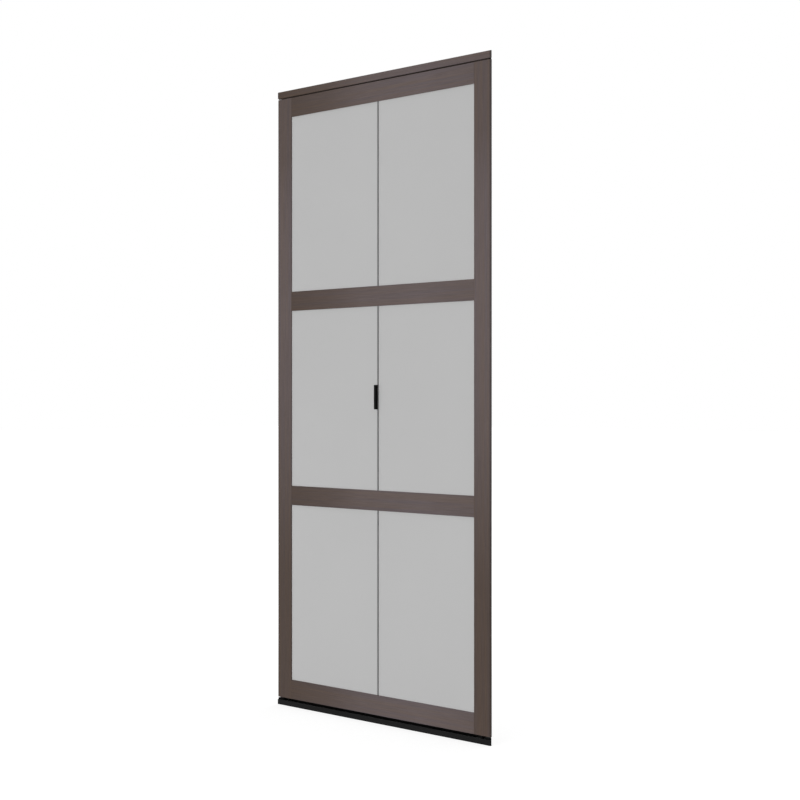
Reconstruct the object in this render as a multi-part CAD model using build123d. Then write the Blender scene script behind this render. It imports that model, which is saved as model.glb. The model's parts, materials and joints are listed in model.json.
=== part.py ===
from build123d import *
import os

# Folding closet door of two glazed leaves, closed, in millimetres
# X runs along the width, the front faces -Y, Z is up
# The origin is on the underside of the bottom track, on the centre line of the opening

# Overall size
overall_width = 912.4
overall_height = 2044.7

# Leaves, which meet at the joint on the middle plane
side_clearance = 0.6
leaf_bottom = 25.4
leaf_thickness = 16.0
head_gap = 26.0
member_width = 63.5
arris_radius = 0.8

# Rails and lites of a leaf, from the bottom up
rail_names = ("bottom_rail", "lower_mid_rail", "upper_mid_rail", "top_rail")
lite_names = ("bottom_glass", "middle_glass", "top_glass")

# Rebated outer edge of a leaf
edge_lip = 5.5
edge_rebate = 9.0

# Glass and the groove that holds it
glass_recess = 3.0
glass_thickness = 4.0
glass_back_clearance = 0.4
groove_depth = 8.0
glass_side_clearance = 1.5
glass_top_clearance = 2.0
glass_lip_clearance = 0.3

# Rail joints
tongue_end_clearance = 0.5

# Meeting stile behind the glass, with a thin lip beside each lite at the joint
meeting_width = 32.0
meeting_lip = 1.5
joint_bevel = 0.9

# Fascia over the top
fascia_height = 22.0
fascia_thickness = 5.0
fascia_proud = 0.8
fascia_radius = 1.2

# Top track
top_track_height = 24.0
top_track_width = 13.6
top_track_wall = 1.2
top_track_jamb_inset = 12.0

# Bottom track
bottom_track_height = 16.5
bottom_track_back_height = 22.0
bottom_track_proud = 1.5
bottom_track_front_wall = 3.0
bottom_track_back_wall = 2.0
bottom_track_web = 2.0
bottom_track_shoulder = 1.4
bottom_track_jamb_inset = 18.0
mitre_land = 2.0

# Screw holes in both tracks, as distances from the centre line
track_hole_radius = 2.5
track_hole_offsets = (130.0, 370.0)

# Pins in the ends of the outer stiles
pin_radius = 3.0
pin_clearance = 0.3
pin_inset = 40.0
pin_depth = 45.0
pin_bore_spare = 3.0
collar_radius = 4.6
collar_height = 1.2
pin_chamfer = 0.6

# Caps on the guide pins, which slide in the tracks
cap_height = 10.0
cap_crown = 2.0
cap_side_clearance = 0.3
top_cap_rise = 6.0
bottom_cap_drop = 9.9

# Pivot brackets
bracket_length = 40.0
bracket_side_clearance = 0.2
top_bracket_height = 15.0
bottom_bracket_height = 14.0
bracket_chamfer = 1.5
heel_height = 20.0
heel_clearance = 0.4
clamp_hole_radius = 2.1
clamp_hole_distance = 12.0
nut_radius = 6.5
nut_sides = 6

# Rubber stop at the lead end of the bottom track
stop_length = 28.0
stop_height = 20.0
stop_side_clearance = 0.2
stop_chamfer = 2.0

# Hinges on the back of the joint
hinge_places = ("bottom", "middle", "top")
hinge_end_distance = 180.0
hinge_height = 64.0
hinge_plate_width = 24.0
hinge_plate_thickness = 1.6
hinge_corner_radius = 4.0
knuckle_radius = 3.2
knuckle_gap = 0.3
knuckle_count = 3
hinge_pin_radius = 1.5
hinge_pin_clearance = 0.3
hinge_pin_head = 2.4
hinge_pin_head_height = 1.2
hinge_screw_radius = 2.1
hinge_screw_count = 2
hinge_screw_pitch = 40.0

# Finger pull on the lead leaf, beside the joint
pull_height = 77.0
pull_middle = 1025.5
pull_width = 10.8
pull_projection = 7.7
pull_overhang = 1.3
pull_running_gap = 0.8
pull_front_radius = 1.6
pull_flute_radius = 3.0
pull_flute_depth = 1.2
pull_end_chamfer = 1.2

# How far an edge may lie from a plane to be picked with it
plane_tolerance = 0.01

# Places that follow from the sizes above
half_width = overall_width / 2
leaf_outer = half_width - side_clearance
leaf_top = overall_height - head_gap
rail_count = len(rail_names)
lite_count = len(lite_names)
lite_height = (leaf_top - leaf_bottom - rail_count * member_width) / lite_count
front = -leaf_thickness / 2
back = leaf_thickness / 2
glass_front = front + glass_recess
glass_back = glass_front + glass_thickness
groove_back = glass_back + glass_back_clearance
stile_inner = leaf_outer - member_width
fascia_front = front - fascia_proud
fascia_back = fascia_front + fascia_thickness
fascia_bottom = overall_height - fascia_height
track_axis_y = fascia_back + top_track_width / 2
pin_x = leaf_outer - pin_inset
bottom_track_front = front - bottom_track_proud
bottom_channel_front = bottom_track_front + bottom_track_front_wall
bottom_channel_half = track_axis_y - bottom_channel_front
bottom_track_back = track_axis_y + bottom_channel_half + bottom_track_back_wall
mitre_depth = bottom_track_back - bottom_channel_front - mitre_land
top_track_bottom = overall_height - top_track_height
top_web_under = overall_height - top_track_wall
knuckle_axis_y = back + knuckle_radius


def block(x0, x1, y0, y1, z0, z1):
    """Rectangular bar between two corners."""
    low = (Align.MIN, Align.MIN, Align.MIN)
    return Pos(x0, y0, z0) * Box(x1 - x0, y1 - y0, z1 - z0, align=low)


def upright(radius, x, y, z0, z1):
    """Round bar standing on z0."""
    middle = (Align.CENTER, Align.CENTER, Align.MIN)
    return Pos(x, y, z0) * Cylinder(radius, z1 - z0, align=middle)


def turned(outline, x, y):
    """Solid of revolution about an upright axis, from (radius, z) corners."""
    face = make_face(Polyline([(r, 0, z) for r, z in outline], close=True))
    return Pos(x, y, 0) * revolve(face, Axis.Z)


def standing(outline, z0, z1):
    """Upright bar with a profile of (x, y) corners."""
    face = make_face(Polyline([(x, y, z0) for x, y in outline], close=True))
    return extrude(face, z1 - z0, dir=(0, 0, 1))


def lying(outline, x0, x1):
    """Bar along the width with a profile of (y, z) corners."""
    face = make_face(Polyline([(x0, y, z) for y, z in outline], close=True))
    return extrude(face, x1 - x0, dir=(1, 0, 0))


def rail_bottom(index):
    """Underside of a rail, counted from the bottom one."""
    return leaf_bottom + index * (member_width + lite_height)


def edges_at(solid, axis, y):
    """Long edges along an axis that lie in the plane at y."""
    return [e for e in solid.edges().filter_by(axis) if abs(e.center().Y - y) < plane_tolerance]


# Leaf members, made for the right leaf


def outer_stile():
    """Full-height stile with a glass groove inside and a rebate at the back of its outer edge."""
    rebate_x = leaf_outer - edge_rebate
    groove_x = stile_inner + groove_depth
    outline = [(stile_inner, front), (leaf_outer, front), (leaf_outer, front + edge_lip)]
    outline += [(rebate_x, front + edge_lip), (rebate_x, back), (stile_inner, back)]
    outline += [(stile_inner, groove_back), (groove_x, groove_back)]
    outline += [(groove_x, glass_front), (stile_inner, glass_front)]
    stile = standing(outline, leaf_bottom, leaf_top)
    stile = fillet(edges_at(stile, Axis.Z, front), arris_radius)
    bore = pin_radius + pin_clearance
    deep = pin_depth + pin_bore_spare
    stile -= upright(bore, pin_x, track_axis_y, leaf_top - deep, leaf_top)
    stile -= upright(bore, pin_x, track_axis_y, leaf_bottom, leaf_bottom + deep)
    return stile


def meeting_stile():
    """Flat stile behind the glass, with the thin lips that show beside the lites."""
    stile = block(0, meeting_width, glass_back, back, leaf_bottom, leaf_top)
    joint_edge = min(edges_at(stile, Axis.Z, back), key=lambda e: e.center().X)
    stile = chamfer(joint_edge, joint_bevel)
    for index in range(lite_count):
        z0 = rail_bottom(index) + member_width
        stile += block(0, meeting_lip, front, glass_back, z0, rail_bottom(index + 1))
    return stile


def rail(index):
    """Grooved rail with a stub tongue at the outer stile and a half lap over the meeting stile."""
    z0 = rail_bottom(index)
    z1 = z0 + member_width
    tongue_x = stile_inner + groove_depth - tongue_end_clearance
    outline = [(front, z0)]
    if index > 0:
        outline += [(glass_front, z0), (glass_front, z0 + groove_depth)]
        outline += [(groove_back, z0 + groove_depth), (groove_back, z0)]
    outline += [(back, z0), (back, z1)]
    if index < lite_count:
        outline += [(groove_back, z1), (groove_back, z1 - groove_depth)]
        outline += [(glass_front, z1 - groove_depth), (glass_front, z1)]
    outline += [(front, z1)]
    bar = lying(outline, 0, tongue_x)
    bar = fillet(edges_at(bar, Axis.X, front), arris_radius)
    bar -= block(0, meeting_width, glass_back, back, z0, z1)
    bar -= block(stile_inner, tongue_x, front, glass_front, z0, z1)
    bar -= block(stile_inner, tongue_x, glass_back, back, z0, z1)
    return bar


def lite(index):
    """Pane between two rails, standing in the groove of the lower one."""
    x0 = meeting_lip + glass_lip_clearance
    x1 = stile_inner + groove_depth - glass_side_clearance
    z0 = rail_bottom(index) + member_width - groove_depth
    z1 = rail_bottom(index + 1) + groove_depth - glass_top_clearance
    return block(x0, x1, glass_front, glass_back, z0, z1)


# Tracks


def top_fascia():
    """Strip that covers the top track from the front."""
    strip = block(-half_width, half_width, fascia_front, fascia_back, fascia_bottom, overall_height)
    return fillet(edges_at(strip, Axis.X, fascia_front), fascia_radius)


def top_track():
    """Channel open below, cut back at the jamb end behind the fascia."""
    x1 = half_width - top_track_jamb_inset
    y0 = fascia_back
    y1 = fascia_back + top_track_width
    outline = [(y0, top_track_bottom), (y0, overall_height), (y1, overall_height)]
    outline += [(y1, top_track_bottom), (y1 - top_track_wall, top_track_bottom)]
    outline += [(y1 - top_track_wall, top_web_under), (y0 + top_track_wall, top_web_under)]
    outline += [(y0 + top_track_wall, top_track_bottom)]
    track = lying(outline, -half_width, x1)
    for x in screw_places():
        track -= upright(track_hole_radius, x, track_axis_y, top_web_under, overall_height)
    return track


def screw_places():
    """Places of the track screws along the width."""
    return [side * offset for side in (-1, 1) for offset in track_hole_offsets]


def bottom_track():
    """Channel open above, with a rounded front shoulder and a mitred jamb end behind it."""
    back_wall_y = bottom_track_back - bottom_track_back_wall
    outline = [(bottom_track_front, 0), (bottom_track_back, 0)]
    outline += [(bottom_track_back, bottom_track_back_height)]
    outline += [(back_wall_y, bottom_track_back_height), (back_wall_y, bottom_track_web)]
    outline += [(bottom_channel_front, bottom_track_web)]
    outline += [(bottom_channel_front, bottom_track_height)]
    outline += [(bottom_track_front, bottom_track_height)]
    track = lying(outline, -half_width, half_width)
    shoulder = edges_at(track, Axis.X, bottom_track_front)
    track = fillet([e for e in shoulder if e.center().Z > 0], bottom_track_shoulder)
    mitre = [(half_width, bottom_channel_front + mitre_land), (half_width, bottom_track_back)]
    mitre += [(half_width - bottom_track_jamb_inset, bottom_track_back)]
    track -= standing(mitre, 0, bottom_track_back_height)
    for x in screw_places():
        track -= upright(track_hole_radius, x, track_axis_y, 0, bottom_track_web)
    return track


def bottom_end_stop():
    """Rubber block in the lead end of the bottom track, which closes the channel."""
    half_depth = bottom_channel_half - stop_side_clearance
    y0 = track_axis_y - half_depth
    y1 = track_axis_y + half_depth
    z1 = bottom_track_web + stop_height
    stop = block(-half_width, stop_length - half_width, y0, y1, bottom_track_web, z1)
    upper_edges = stop.edges().filter_by(Axis.Y).group_by(Axis.Z)[-1]
    return chamfer(upper_edges.sort_by(Axis.X)[-1], stop_chamfer)


# Pins, caps and brackets


def collar_pin(root, seat, tip, x):
    """Pin from its root in the leaf to its tip in a track, with a collar on the leaf's end."""
    way = 1 if tip > root else -1
    collar = seat + way * collar_height
    corners = [(0, root), (pin_radius, root), (pin_radius, seat), (collar_radius, seat)]
    corners += [(collar_radius, collar), (pin_radius, collar)]
    corners += [(pin_radius, tip - way * pin_chamfer), (pin_radius - pin_chamfer, tip), (0, tip)]
    return turned(corners, x, track_axis_y)


def top_pivot_pin():
    """Pin on the top of the jamb leaf."""
    return collar_pin(leaf_top - pin_depth, leaf_top, top_web_under - pin_clearance, pin_x)


def top_guide_pin():
    """Pin on the top of the lead leaf, whose tip carries the cap."""
    tip = leaf_top + top_cap_rise + cap_height - cap_crown
    return collar_pin(leaf_top - pin_depth, leaf_top, tip, -pin_x)


def bottom_guide_pin():
    """Pin under the lead leaf, with the cap pushed on its tip."""
    tip = leaf_bottom - bottom_cap_drop - cap_height + cap_crown
    return collar_pin(leaf_bottom + pin_depth, leaf_bottom, tip, -pin_x)


def bottom_pivot_pin():
    """Pin under the jamb leaf, with the hexagonal nut that carries the leaf on its bracket."""
    seat = bottom_track_web + bottom_bracket_height
    tip = bottom_track_web + pin_clearance
    corners = [(0, leaf_bottom + pin_depth), (pin_radius, leaf_bottom + pin_depth)]
    corners += [(pin_radius, tip), (0, tip)]
    pin = turned(corners, pin_x, track_axis_y)
    nut_face = Pos(pin_x, track_axis_y, seat) * RegularPolygon(nut_radius, nut_sides)
    return pin + extrude(nut_face, leaf_bottom - seat)


def guide_cap(radius, opening, crown):
    """Round cap with a blind bore for its pin."""
    z0 = min(opening, crown)
    cap = upright(radius, -pin_x, track_axis_y, z0, z0 + cap_height)
    bore = pin_radius + pin_clearance
    bore0 = opening if crown > opening else z0 + cap_crown
    return cap - upright(bore, -pin_x, track_axis_y, bore0, bore0 + cap_height - cap_crown)


def top_guide_cap():
    """Cap that slides in the top track."""
    radius = top_track_width / 2 - top_track_wall - cap_side_clearance
    opening = leaf_top + top_cap_rise
    return guide_cap(radius, opening, opening + cap_height)


def bottom_guide_cap():
    """Cap that slides in the bottom track."""
    radius = bottom_channel_half - cap_side_clearance
    opening = leaf_bottom - bottom_cap_drop
    return guide_cap(radius, opening, opening - cap_height)


def bracket(half_depth, z0, z1):
    """Pivot block that fills the channel, with the socket of its pin."""
    x0 = pin_x - bracket_length / 2
    x1 = pin_x + bracket_length / 2
    body = block(x0, x1, track_axis_y - half_depth, track_axis_y + half_depth, z0, z1)
    body = chamfer(body.edges().filter_by(Axis.Z), bracket_chamfer)
    body -= upright(clamp_hole_radius, pin_x - clamp_hole_distance, track_axis_y, z0, z1)
    return body - upright(pin_radius + pin_clearance, pin_x, track_axis_y, z0, z1)


def top_pivot_bracket():
    """Block under the web of the top track."""
    half_depth = top_track_width / 2 - top_track_wall - bracket_side_clearance
    return bracket(half_depth, top_web_under - top_bracket_height, top_web_under)


def bottom_pivot_bracket():
    """Block on the web of the bottom track, with a mitred heel that fills the jamb end."""
    half_depth = bottom_channel_half - bracket_side_clearance
    body = bracket(half_depth, bottom_track_web, bottom_track_web + bottom_bracket_height)
    x0 = pin_x + bracket_length / 2 - bracket_chamfer
    x1 = half_width - heel_clearance
    y0 = track_axis_y - half_depth
    y1 = track_axis_y + half_depth
    run = bottom_track_jamb_inset * (y1 - y0 - mitre_land) / mitre_depth
    outline = [(x0, y0), (x1, y0), (x1, y0 + mitre_land), (x1 - run, y1), (x0, y1)]
    return body + standing(outline, bottom_track_web, bottom_track_web + heel_height)


# Hinges


def hinge_middle(index):
    """Height of a hinge's middle, with the hinges spread evenly over the leaf."""
    low = leaf_bottom + hinge_end_distance
    high = leaf_top - hinge_end_distance
    return low + index * (high - low) / (len(hinge_places) - 1)


def knuckle_range(middle, number):
    """Lower and upper end of a knuckle, with half of the running gap off each inner end."""
    pitch = hinge_height / knuckle_count
    z0 = middle - hinge_height / 2 + number * pitch
    low = z0 + (knuckle_gap / 2 if number > 0 else 0)
    high = z0 + pitch - (knuckle_gap / 2 if number < knuckle_count - 1 else 0)
    return low, high


def hinge_plate(middle, numbers):
    """Right-hand hinge plate with the knuckles of the given numbers, not yet bored."""
    clear = knuckle_radius + knuckle_gap
    z0 = middle - hinge_height / 2
    z1 = middle + hinge_height / 2
    plate = block(clear, hinge_plate_width, back, back + hinge_plate_thickness, z0, z1)
    corners = plate.edges().filter_by(Axis.Y).sort_by(Axis.X)[-2:]
    plate = fillet(corners, hinge_corner_radius)
    for number in numbers:
        low, high = knuckle_range(middle, number)
        plate += block(0, clear, back, back + hinge_plate_thickness, low, high)
        plate += upright(knuckle_radius, 0, knuckle_axis_y, low, high)
    screw_x = (clear + hinge_plate_width) / 2
    outside = back + hinge_plate_thickness
    low = (Align.CENTER, Align.CENTER, Align.MIN)
    hole = Cylinder(hinge_screw_radius, hinge_plate_thickness, align=low)
    for row in range(hinge_screw_count):
        z = middle + (row - (hinge_screw_count - 1) / 2) * hinge_screw_pitch
        plate -= Pos(screw_x, outside, z) * Rot(90, 0, 0) * hole
    return plate


def jamb_plate(middle):
    """Plate of the jamb leaf, whose middle knuckle is bored for the pin."""
    plate = hinge_plate(middle, range(1, knuckle_count, 2))
    z0, z1 = knuckle_range(middle, 1)
    return plate - upright(hinge_pin_radius + hinge_pin_clearance, 0, knuckle_axis_y, z0, z1)


def lead_plate(middle):
    """Plate of the lead leaf, with the pin riveted in its outer knuckles."""
    plate = lead_side(hinge_plate(middle, range(0, knuckle_count, 2)))
    z0 = middle - hinge_height / 2
    z1 = middle + hinge_height / 2
    head = z1 + hinge_pin_head_height
    plate += upright(hinge_pin_radius, 0, knuckle_axis_y, z0, z1)
    return plate + upright(hinge_pin_head, 0, knuckle_axis_y, z1, head)


# Finger pull


def finger_pull():
    """Moulded pull on the lip of the lead leaf, fluted on both sides and reaching over the joint."""
    x1 = pull_overhang
    x0 = x1 - pull_width
    y0 = front - pull_projection
    z0 = pull_middle - pull_height / 2
    z1 = pull_middle + pull_height / 2
    bar = block(x0, x1, y0, front, z0, z1)
    bar = fillet(edges_at(bar, Axis.Z, y0), pull_front_radius)
    ends = bar.faces().sort_by(Axis.Z)
    bar = chamfer([e for f in (ends[0], ends[-1]) for e in f.edges()], pull_end_chamfer)
    flute_y = (y0 + front) / 2
    for x in (x0 - pull_flute_radius + pull_flute_depth, x1 + pull_flute_radius - pull_flute_depth):
        bar -= upright(pull_flute_radius, x, flute_y, z0, z1)
    bar -= block(0, x1, front - pull_running_gap, front, z0, z1)
    foot_x = -meeting_lip - glass_lip_clearance
    foot0 = z0 + pull_end_chamfer
    foot1 = z1 - pull_end_chamfer
    bar += block(x0 + pull_end_chamfer, foot_x, front, glass_front, foot0, foot1)
    return bar


# Export


def write(node, solid):
    """Write one piece to its own file."""
    export_step(solid, os.path.join("parts", node + ".step"))


def lead_side(solid):
    """The same piece on the left leaf."""
    return mirror(solid, about=Plane.YZ)


def main():
    """Build every piece and write it."""
    os.makedirs("parts", exist_ok=True)
    members = {"outer_stile": outer_stile(), "meeting_stile": meeting_stile()}
    members.update({name: rail(i) for i, name in enumerate(rail_names)})
    members.update({name: lite(i) for i, name in enumerate(lite_names)})
    for name, solid in members.items():
        write("jamb_leaf_" + name, solid)
        write("lead_leaf_" + name, lead_side(solid))
    write("top_fascia", top_fascia())
    write("top_track", top_track())
    write("bottom_track", bottom_track())
    write("bottom_end_stop", bottom_end_stop())
    write("top_pivot_bracket", top_pivot_bracket())
    write("bottom_pivot_bracket", bottom_pivot_bracket())
    write("top_pivot_pin", top_pivot_pin())
    write("bottom_pivot_pin", bottom_pivot_pin())
    write("top_guide_pin", top_guide_pin())
    write("bottom_guide_pin", bottom_guide_pin())
    write("top_guide_cap", top_guide_cap())
    write("bottom_guide_cap", bottom_guide_cap())
    for index, place in enumerate(hinge_places):
        middle = hinge_middle(index)
        write(place + "_hinge_jamb_plate", jamb_plate(middle))
        write(place + "_hinge_lead_plate", lead_plate(middle))
    write("finger_pull", finger_pull())


main()
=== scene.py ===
import bpy
import bmesh
import json
import math
from mathutils import Matrix, Vector


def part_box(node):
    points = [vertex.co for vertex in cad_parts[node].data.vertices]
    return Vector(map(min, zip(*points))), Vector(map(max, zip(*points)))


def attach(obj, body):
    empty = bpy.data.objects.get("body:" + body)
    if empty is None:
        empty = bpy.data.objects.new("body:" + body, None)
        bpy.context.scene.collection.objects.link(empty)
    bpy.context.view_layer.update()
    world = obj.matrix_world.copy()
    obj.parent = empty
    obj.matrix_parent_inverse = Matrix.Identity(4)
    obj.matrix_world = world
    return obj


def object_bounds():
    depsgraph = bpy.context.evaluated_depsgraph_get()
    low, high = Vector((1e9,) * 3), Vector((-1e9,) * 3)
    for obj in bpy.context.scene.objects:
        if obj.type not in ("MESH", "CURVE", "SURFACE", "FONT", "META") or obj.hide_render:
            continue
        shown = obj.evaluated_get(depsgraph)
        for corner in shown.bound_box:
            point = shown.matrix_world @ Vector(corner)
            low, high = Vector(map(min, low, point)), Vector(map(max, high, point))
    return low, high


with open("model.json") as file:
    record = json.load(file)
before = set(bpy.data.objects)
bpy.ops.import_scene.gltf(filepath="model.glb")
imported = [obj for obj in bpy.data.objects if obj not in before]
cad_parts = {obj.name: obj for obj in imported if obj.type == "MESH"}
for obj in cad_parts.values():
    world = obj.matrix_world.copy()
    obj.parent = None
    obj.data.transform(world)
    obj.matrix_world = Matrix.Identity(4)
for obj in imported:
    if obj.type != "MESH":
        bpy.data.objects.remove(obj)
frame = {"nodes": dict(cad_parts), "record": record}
cad_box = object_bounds()
nodes = frame["nodes"]

# Half the door's width, and its height, in metres
door_half_width = cad_box[1][0]
door_height = cad_box[1][2]


# Shader nodes


def rgba(tone):
    """Colour with its alpha, of a grey level or of a red, green and blue level."""
    levels = tone if isinstance(tone, tuple) else (tone, tone, tone)
    return (*levels, 1.0)


def new_material(name, specular=0.5, metallic=0.0):
    """Material with a Principled shader, its tree and its shader node."""
    mat = bpy.data.materials.new(name)
    mat.use_nodes = True
    tree = mat.node_tree
    shader = tree.nodes["Principled BSDF"]
    shader.inputs["Metallic"].default_value = metallic
    shader.inputs["Specular IOR Level"].default_value = specular
    return mat, tree, shader


def noise(tree, stretch=(1.0, 1.0, 1.0), scale=1.0, detail=3.0, rough=0.55, distortion=0.0):
    """Factor of a noise over object coordinates that are stretched along the axes."""
    coords = tree.nodes.new("ShaderNodeTexCoord")
    mapping = tree.nodes.new("ShaderNodeMapping")
    mapping.inputs["Scale"].default_value = stretch
    tree.links.new(coords.outputs["Object"], mapping.inputs["Vector"])
    node = tree.nodes.new("ShaderNodeTexNoise")
    node.inputs["Scale"].default_value = scale
    node.inputs["Detail"].default_value = detail
    node.inputs["Roughness"].default_value = rough
    node.inputs["Distortion"].default_value = distortion
    tree.links.new(mapping.outputs["Vector"], node.inputs["Vector"])
    return node.outputs["Fac"]


def ramp(tree, factor, stops):
    """Colour ramp over a factor. A stop is its place and its grey level or colour."""
    node = tree.nodes.new("ShaderNodeValToRGB")
    elements = node.color_ramp.elements
    while len(elements) > 1:
        elements.remove(elements[-1])
    elements[0].position = stops[0][0]
    elements[0].color = rgba(stops[0][1])
    for place, tone in stops[1:]:
        elements.new(place).color = rgba(tone)
    tree.links.new(factor, node.inputs["Fac"])
    return node.outputs["Color"]


def mixed(tree, kind, factor, a, b):
    """Two colours mixed; factor is a number or a socket."""
    node = tree.nodes.new("ShaderNodeMix")
    node.data_type = "RGBA"
    node.blend_type = kind
    if isinstance(factor, float):
        node.inputs["Factor"].default_value = factor
    else:
        tree.links.new(factor, node.inputs["Factor"])
    tree.links.new(a, node.inputs["A"])
    tree.links.new(b, node.inputs["B"])
    return node.outputs["Result"]


def product(tree, first, *others):
    """Colours multiplied with each other."""
    result = first
    for other in others:
        result = mixed(tree, "MULTIPLY", 1.0, result, other)
    return result


def maths(tree, operation, *values):
    """Result of a maths node over one or two sockets."""
    node = tree.nodes.new("ShaderNodeMath")
    node.operation = operation
    for socket, value in zip(node.inputs, values):
        tree.links.new(value, socket)
    return node.outputs["Value"]


def ranged(tree, value, source=(0.0, 1.0), target=(0.0, 1.0), shape="LINEAR"):
    """Value mapped from one range to another and held at the ends."""
    node = tree.nodes.new("ShaderNodeMapRange")
    node.interpolation_type = shape
    for side, ends in (("From", source), ("To", target)):
        node.inputs[side + " Min"].default_value = ends[0]
        node.inputs[side + " Max"].default_value = ends[1]
    tree.links.new(value, node.inputs["Value"])
    return node.outputs["Result"]


def coordinate(tree, axis):
    """Object coordinate along one axis."""
    coords = tree.nodes.new("ShaderNodeTexCoord")
    split = tree.nodes.new("ShaderNodeSeparateXYZ")
    tree.links.new(coords.outputs["Object"], split.inputs["Vector"])
    return split.outputs[axis]


def along(tree, axis, run):
    """0 to 1 along an axis between the two places of a run."""
    return ranged(tree, coordinate(tree, axis), run)


def outwards(tree, run):
    """0 to 1 between two distances from the door's middle plane, on both sides of it."""
    return ranged(tree, maths(tree, "ABSOLUTE", coordinate(tree, "X")), run)


def bump(tree, shader, height, strength, distance):
    """Normal from a height; distance is in metres."""
    node = tree.nodes.new("ShaderNodeBump")
    node.inputs["Strength"].default_value = strength
    node.inputs["Distance"].default_value = distance
    tree.links.new(height, node.inputs["Height"])
    tree.links.new(node.outputs["Normal"], shader.inputs["Normal"])


def roughness_from(tree, shader, factor, low, high):
    """Roughness that follows a factor between two values."""
    tree.links.new(ranged(tree, factor, target=(low, high)), shader.inputs["Roughness"])


# Wood-grain foil of the frame

# The two browns at the ends of a painted sheen along each member of the frame
low_sheen_brown = (0.0715, 0.0492, 0.0385)
high_sheen_brown = (0.1255, 0.0980, 0.0950)

# Shares of the way from the low-sheen brown to the high-sheen one, up a stile and along a rail from the
# lead side to the jamb, and the places in metres between which they lie: a painted sheen along each
# member, with some of the foil's own tone
stile_sheen_shares = [(0.0, 0.14), (0.22, 0.15), (0.42, 0.72), (0.50, 0.87), (0.62, 1.0),
                (0.76, 0.99), (0.84, 0.84), (0.90, 0.55), (1.0, 0.55)]
rail_sheen_shares = [(0.0, 0.02), (0.25, 0.38), (0.42, 0.89), (0.70, 1.11), (1.0, 0.83)]
stile_run = (0.026, 2.017)
rail_run = (-0.455, 0.455)

# Stretch of the grain's noise across and along the grain, and how fine the pores and bands are beside it
across_grain = 620.0
along_grain = 9.0
pore_fineness = 3.1
band_fineness = 0.16

# Tones that the brown is multiplied with, and where the outer edges darken with painted shade
grain_tones = [(0.30, 0.80), (0.55, 1.0), (0.75, 1.12)]
pore_tones = [(0.36, 0.90), (0.46, 1.0)]
band_tones = [(0.36, (0.95, 0.975, 1.03)), (0.64, (1.05, 1.02, 0.955))]
outer_edge_shade_run = (0.4490, 0.4555)
outer_edge_shade_tones = [(0.0, 1.0), (0.45, 0.74), (1.0, 0.58)]
# Painted light up the frame: lighter at the foot and a little darker at the top, to offset the lamps'
# falloff
height_light_tones = [(0.0, 1.12), (0.05, 1.07), (0.17, 1.0), (0.94, 1.0), (1.0, 0.96)]
width_tones = [(0.0, 0.98), (1.0, 1.045)]

# Bare grey lips of the meeting stiles: their greys, their reach to the sides and their root at the back
lip_greys = [(0.30, 0.200), (0.75, 0.218)]
lip_side_run = (0.0015, 0.0018)
lip_root_run = (-0.0014, -0.0010)


def brown(share):
    """Brown a share of the way from the low-sheen brown to the high-sheen one, or beyond it, for the
    painted sheen.
    """
    return tuple(base_level + (sheen_level - base_level) * share for base_level, sheen_level in zip(low_sheen_brown, high_sheen_brown))


def joint_lips(tree):
    """1 on the thin lips between the lites at the joint, 0 elsewhere."""
    falling = [(0.0, 1.0), (1.0, 0.0)]
    near = ramp(tree, outwards(tree, lip_side_run), falling)
    ahead = ramp(tree, along(tree, "Y", lip_root_run), falling)
    return product(tree, near, ahead)


def foil(name, stretch, axis, run, sheen_shares, upright):
    """Foil with its grain along one axis, and a slow change of its brown along the member that is painted
    sheen with some of the foil's own tone.

    Upright members also change across the door, and have the bare lips at the joint.
    """
    mat, tree, shader = new_material(name, specular=0.12)
    fine = noise(tree, stretch, detail=5.0, rough=0.6, distortion=0.25)
    pores = noise(tree, tuple(v * pore_fineness for v in stretch), detail=2.0, rough=0.5)
    bands = noise(tree, tuple(v * band_fineness for v in stretch), detail=2.0, rough=0.5)
    # Painted sheen: the brown changes slowly along the member, with some of the foil's own tone
    sheen_drift = [(place, brown(share)) for place, share in sheen_shares]
    colour = product(tree,
                     ramp(tree, along(tree, axis, run), sheen_drift),
                     ramp(tree, fine, grain_tones),
                     ramp(tree, pores, pore_tones),
                     ramp(tree, bands, band_tones),
                     # Painted shade along the door's outer edges
                     ramp(tree, outwards(tree, outer_edge_shade_run), outer_edge_shade_tones),
                     # Painted light: lighter at the foot, darker at the top
                     ramp(tree, along(tree, "Z", (0.0, door_height)), height_light_tones))
    if upright:
        across = along(tree, "X", (-door_half_width, door_half_width))
        colour = product(tree, colour, ramp(tree, across, width_tones))
        bare = ramp(tree, fine, lip_greys)
        colour = mixed(tree, "MIX", joint_lips(tree), colour, bare)
    tree.links.new(colour, shader.inputs["Base Color"])
    roughness_from(tree, shader, fine, low=0.40, high=0.52)
    bump(tree, shader, fine, strength=0.12, distance=0.0004)
    return mat


# Glass, metals and plastics


def painted_glass():
    """Back-painted glass with a satin face, and painted light that makes it a little lighter towards the
    floor to offset the lamps' falloff.
    """
    mat, tree, shader = new_material("pale_glass", specular=0.2)
    cloud = noise(tree, scale=2.2, detail=2.0)
    tone = ramp(tree, cloud, [(0.3, 0.501), (0.7, 0.511)])
    upwards = along(tree, "Z", (0.0, door_height))
    # Painted light: lighter at the floor, a little darker at the top
    falloff_lift = ramp(tree, upwards, [(0.0, 1.065), (0.5, 0.998), (1.0, 0.973)])
    tree.links.new(product(tree, tone, falloff_lift), shader.inputs["Base Color"])
    frost = noise(tree, scale=2600.0, detail=2.0)
    roughness_from(tree, shader, frost, low=0.34, high=0.44)
    bump(tree, shader, frost, strength=0.04, distance=0.00005)
    return mat


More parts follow.
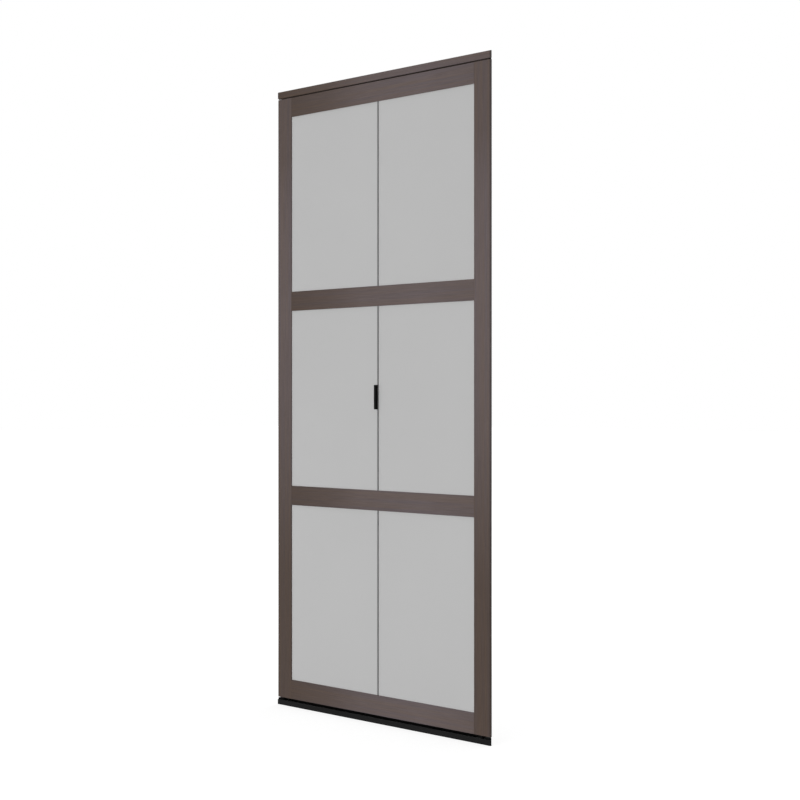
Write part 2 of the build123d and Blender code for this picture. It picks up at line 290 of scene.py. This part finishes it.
def enamel(name, dark, light, roughness, channel_shade_run=None, channel_shade_tone=1.0):
    """Satin enamel with a fine orange-peel surface, and painted shade that darkens it along Y over the
    inner run of a track's channel.
    """
    mat, tree, shader = new_material(name, specular=0.04)
    cloud = noise(tree, (6.0, 30.0, 30.0), detail=4.0)
    colour = ramp(tree, cloud, [(0.3, dark), (0.7, light)])
    if channel_shade_run:
        # Painted shade inside the channel, darker along Y over the inner run
        inside = ramp(tree, along(tree, "Y", channel_shade_run), [(0.0, 1.0), (1.0, channel_shade_tone)])
        colour = product(tree, colour, inside)
    tree.links.new(colour, shader.inputs["Base Color"])
    peel = noise(tree, scale=900.0, detail=2.0)
    roughness_from(tree, shader, peel, *roughness)
    bump(tree, shader, peel, strength=0.08, distance=0.0002)
    return mat


def moulded(name, dark, light, roughness, specular):
    """Moulded plastic or rubber with a fine spark-eroded texture."""
    mat, tree, shader = new_material(name, specular=specular)
    spark = noise(tree, scale=1500.0, rough=0.6)
    tree.links.new(ramp(tree, spark, [(0.3, dark), (0.7, light)]), shader.inputs["Base Color"])
    roughness_from(tree, shader, spark, *roughness)
    bump(tree, shader, spark, strength=0.15, distance=0.0001)
    return mat


def zinc(name):
    """Zinc plating over steel, lightly brushed upright, with a faint patina."""
    mat, tree, shader = new_material(name, metallic=1.0)
    brush = noise(tree, (900.0, 900.0, 60.0))
    tone = ramp(tree, brush, [(0.3, (0.29, 0.29, 0.28)), (0.7, (0.40, 0.40, 0.395))])
    cloud = noise(tree, scale=40.0, detail=4.0, rough=0.6)
    patina = ramp(tree, cloud, [(0.35, 0.86), (0.65, 1.0)])
    tree.links.new(product(tree, tone, patina), shader.inputs["Base Color"])
    roughness_from(tree, shader, brush, low=0.46, high=0.60)
    bump(tree, shader, brush, strength=0.06, distance=0.0001)
    return mat


def turned_steel(name):
    """Turned steel under a thin black oxide, with faint turning lines."""
    mat, tree, shader = new_material(name, specular=0.06)
    lines = noise(tree, (60.0, 60.0, 4000.0))
    tone = ramp(tree, lines, [(0.3, (0.0020, 0.0020, 0.0021)), (0.7, (0.0045, 0.0045, 0.0047))])
    tree.links.new(tone, shader.inputs["Base Color"])
    roughness_from(tree, shader, lines, low=0.34, high=0.5)
    bump(tree, shader, lines, strength=0.08, distance=0.0001)
    return mat


# Looks of the nodes

foil_upright = foil("foil_upright_grain", (across_grain, across_grain, along_grain), "Z",
                    stile_run, stile_sheen_shares, upright=True)
foil_level = foil("foil_level_grain", (along_grain, across_grain, across_grain), "X",
                  rail_run, rail_sheen_shares, upright=False)
looks = {
    "frosted_glass": painted_glass(),
    # The black track has painted shade inside its channel
    "black_track": enamel("black_enamel", dark=0.0100, light=0.0135, roughness=(0.45, 0.56),
                          channel_shade_run=(-0.0075, -0.0060), channel_shade_tone=0.12),
    "dark_track": enamel("brown_enamel", dark=(0.02890, 0.02125, 0.01870),
                         light=(0.04080, 0.03060, 0.02635), roughness=(0.50, 0.61)),
    "black_plastic": moulded("black_moulding", dark=0.0018, light=0.0032,
                             roughness=(0.45, 0.58), specular=0.035),
    "black_rubber": moulded("black_rubber", dark=0.0012, light=0.0025,
                            roughness=(0.70, 0.83), specular=0.03),
    "black_steel": turned_steel("black_oxide_steel"),
    "zinc_steel": zinc("zinc_plating"),
}
slots = {part["node"]: part["material_slot"] for part in frame["record"]["subparts"]}
for name, obj in nodes.items():
    slot = slots[name]
    if slot == "wrapped_frame":
        mat = foil_upright if name.endswith("stile") else foil_level
    else:
        mat = looks[slot]
    for material_slot in obj.material_slots:
        material_slot.material = mat


# Screws

# Sizes in metres. The tracks' screws end inside the webs, because no wall or floor is built.
track_screw = {"head_radius": 0.0042, "head_height": 0.0024, "shank_radius": 0.0021}
head_screw = {**track_screw, "shank_length": 0.0010}
floor_screw = {**track_screw, "shank_length": 0.0018}
hinge_screw = {"head_radius": 0.0036, "head_height": 0.0021, "shank_radius": 0.0019,
               "shank_length": 0.0070}
tip_radius = 0.0002

# Sizes in metres of what the screws hold: the hinge plates and the webs of the tracks
hinge_plate_thickness = 0.0016
hinge_plate_inner_edge = 0.0035
hinge_screw_pitch = 0.040
top_web_thickness = 0.0012
bottom_web_thickness = 0.0020

# Shares of a pan head's radius and height, and of the shank's length
recess_radius_share = 0.30
recess_waist_share = 0.42
crown_radius_share = 0.36
recess_floor_share = 0.55
head_edge_share = 0.35
straight_shank_share = 0.85
ring_corners = 24
recess_arms = 4
dome_steps = 6


def screw_profile(head_radius, head_height, shank_radius, shank_length):
    """Radii and heights of a screw, from the middle of its recess over its head to its tip."""
    recess_floor = head_height * recess_floor_share
    profile = [(0.0, recess_floor), (head_radius * recess_radius_share, recess_floor),
               (head_radius * crown_radius_share, head_height)]
    for step in range(1, dome_steps + 1):
        turn = step / dome_steps * math.pi / 2
        reach = crown_radius_share + (1 - crown_radius_share) * math.sin(turn)
        rise = head_edge_share + (1 - head_edge_share) * math.cos(turn)
        profile.append((head_radius * reach, head_height * rise))
    return profile + [(head_radius, 0.0), (shank_radius, 0.0),
                      (shank_radius, -shank_length * straight_shank_share), (tip_radius, -shank_length)]


def ring(bm, radius, height, recess_radius):
    """Corners of a ring, or one point on the axis. A ring no wider than the recess has four arms."""
    if radius == 0.0:
        return [bm.verts.new((0.0, 0.0, height))]
    corners = []
    for i in range(ring_corners):
        between_arms = radius <= recess_radius and i % (ring_corners // recess_arms) != 0
        reach = radius * (recess_waist_share if between_arms else 1.0)
        turn = 2 * math.pi * i / ring_corners
        corners.append(bm.verts.new((reach * math.cos(turn), reach * math.sin(turn), height)))
    return corners


def skin(bm, first, second):
    """Faces between two rings, of which the first may be one point."""
    for i in range(ring_corners):
        after = (i + 1) % ring_corners
        if len(first) == 1:
            bm.faces.new((first[0], second[i], second[after]))
        else:
            bm.faces.new((first[i], second[i], second[after], first[after]))


def screw(name, at, outward, slot, sizes):
    """Pan-head screw with a cross recess, the underside of its head at a point."""
    bm = bmesh.new()
    recess_radius = sizes["head_radius"] * recess_radius_share
    rings = [ring(bm, radius, height, recess_radius) for radius, height in screw_profile(**sizes)]
    for first, second in zip(rings, rings[1:]):
        skin(bm, first, second)
    bm.faces.new(list(reversed(rings[-1])))
    bmesh.ops.recalc_face_normals(bm, faces=bm.faces)
    turn = Vector((0, 0, 1)).rotation_difference(Vector(outward)).to_matrix().to_4x4()
    bm.transform(Matrix.Translation(Vector(at)) @ turn)
    mesh = bpy.data.meshes.new(name)
    bm.to_mesh(mesh)
    bm.free()
    for polygon in mesh.polygons:
        polygon.use_smooth = True
    mesh.materials.append(looks[slot])
    obj = bpy.data.objects.new(name, mesh)
    bpy.context.scene.collection.objects.link(obj)
    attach(obj, "root")


def screw_holes(pattern):
    """Places in plan of a track's screw holes, from the record's bolt patterns."""
    holes = []
    for mount in frame["record"]["mounts"]:
        if mount["name"].startswith(pattern):
            x, y = mount["pos_m"][:2]
            reach = mount["dims"]["spacing_x_mm"] / 1000 / 2
            holes += [(x - reach, y), (x + reach, y)]
    return sorted(holes)


for hinge in ("bottom", "middle", "top"):
    low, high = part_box(hinge + "_hinge_jamb_plate")
    plate_middle = (hinge_plate_inner_edge + high[0]) / 2
    plate_face = low[1] + hinge_plate_thickness
    hinge_middle = (low[2] + high[2]) / 2
    for side, sign in (("jamb", 1), ("lead", -1)):
        for row, rise in (("low", -hinge_screw_pitch / 2), ("high", hinge_screw_pitch / 2)):
            at = (sign * plate_middle, plate_face, hinge_middle + rise)
            screw("hinge_screw_%s_%s_%s" % (hinge, side, row), at, (0, 1, 0), "zinc_steel", hinge_screw)
top_web_under = door_height - top_web_thickness
track_holes = zip(screw_holes("head_screws"), screw_holes("floor_screws"))
for i, (head_hole, floor_hole) in enumerate(track_holes):
    screw("head_screw_%d" % i, (*head_hole, top_web_under), (0, 0, -1), "zinc_steel", head_screw)
    screw("floor_screw_%d" % i, (*floor_hole, bottom_web_thickness), (0, 0, 1), "zinc_steel", floor_screw)


# Floor, world, lamps and camera

# Side of the floor in metres, and its greys for rays that carry light and for background rays
floor_size = 80.0
floor_greys = (0.52, 0.34)

# Glow of the floor for background rays, beside the door and away from it, and how far out it rises
floor_glow = (0.78, 1.0)
floor_fade = (0.6, 2.4)

# Level at which the world lights the door, and the point that the key and the back lamp aim at
world_level = 0.45
door_middle = (0.0, 0.0, 0.95)


def background_rays(tree):
    """1 for camera, glossy and transmission rays, which see the plain white background."""
    path = tree.nodes.new("ShaderNodeLightPath")
    seen = path.outputs["Is Camera Ray"]
    for kind in ("Is Glossy Ray", "Is Transmission Ray"):
        seen = maths(tree, "MAXIMUM", seen, path.outputs[kind])
    return seen


def stage_floor():
    """Pale floor that takes the door's shadow and fades to plain white away from it."""
    bpy.ops.mesh.primitive_plane_add(size=floor_size, location=(0, 0, 0))
    floor = bpy.context.object
    floor.name = "floor"
    mat, tree, shader = new_material("floor_white", specular=0.0)
    shader.inputs["Roughness"].default_value = 0.9
    shader.inputs["Emission Color"].default_value = rgba(1.0)
    background = background_rays(tree)
    tree.links.new(ranged(tree, background, target=floor_greys), shader.inputs["Base Color"])
    coords = tree.nodes.new("ShaderNodeTexCoord")
    away = tree.nodes.new("ShaderNodeVectorMath")
    away.operation = "LENGTH"
    tree.links.new(coords.outputs["Object"], away.inputs[0])
    glow = ranged(tree, away.outputs["Value"], floor_fade, floor_glow, "SMOOTHSTEP")
    tree.links.new(maths(tree, "MULTIPLY", background, glow), shader.inputs["Emission Strength"])
    floor.data.materials.append(mat)


def white_world(level):
    """White world that lights the door at a level and is seen as plain white."""
    world = bpy.data.worlds.new("studio")
    bpy.context.scene.world = world
    world.use_nodes = True
    tree = world.node_tree
    back = tree.nodes["Background"]
    back.inputs["Color"].default_value = rgba(1.0)
    strength = ranged(tree, background_rays(tree), target=(level, 1.0))
    tree.links.new(strength, back.inputs["Strength"])


def area(name, at, target, size, energy):
    """Round area lamp that points at a target."""
    light = bpy.data.lights.new(name, "AREA")
    light.shape = "DISK"
    light.size = size
    light.energy = energy
    obj = bpy.data.objects.new(name, light)
    bpy.context.scene.collection.objects.link(obj)
    obj.location = at
    obj.rotation_euler = (Vector(target) - Vector(at)).to_track_quat("-Z", "Y").to_euler()


def level_camera(at, turn, lens, shift):
    """Camera that looks level, turned about the upright axis by an angle in degrees."""
    camera = bpy.data.cameras.new("camera")
    camera.sensor_width = 36.0
    camera.lens = lens
    camera.shift_y = shift
    camera.clip_end = 200.0
    obj = bpy.data.objects.new("camera", camera)
    bpy.context.scene.collection.objects.link(obj)
    obj.location = at
    obj.rotation_euler = (math.radians(90.0), 0.0, math.radians(turn))
    bpy.context.scene.camera = obj


stage_floor()
white_world(world_level)
area("key", at=(-1.0, -10.0, 0.9), target=door_middle, size=5.2, energy=690.0)
area("top", at=(0.0, 0.0, 6.5), target=(0.0, 0.0, 0.0), size=6.0, energy=110.0)
area("back", at=(-0.8, 10.0, 0.9), target=door_middle, size=8.5, energy=655.0)
level_camera(at=(3.2393, -3.4566, 1.0162), turn=42.353, lens=67.769, shift=0.00013)
bpy.context.scene.view_settings.view_transform = "Standard"
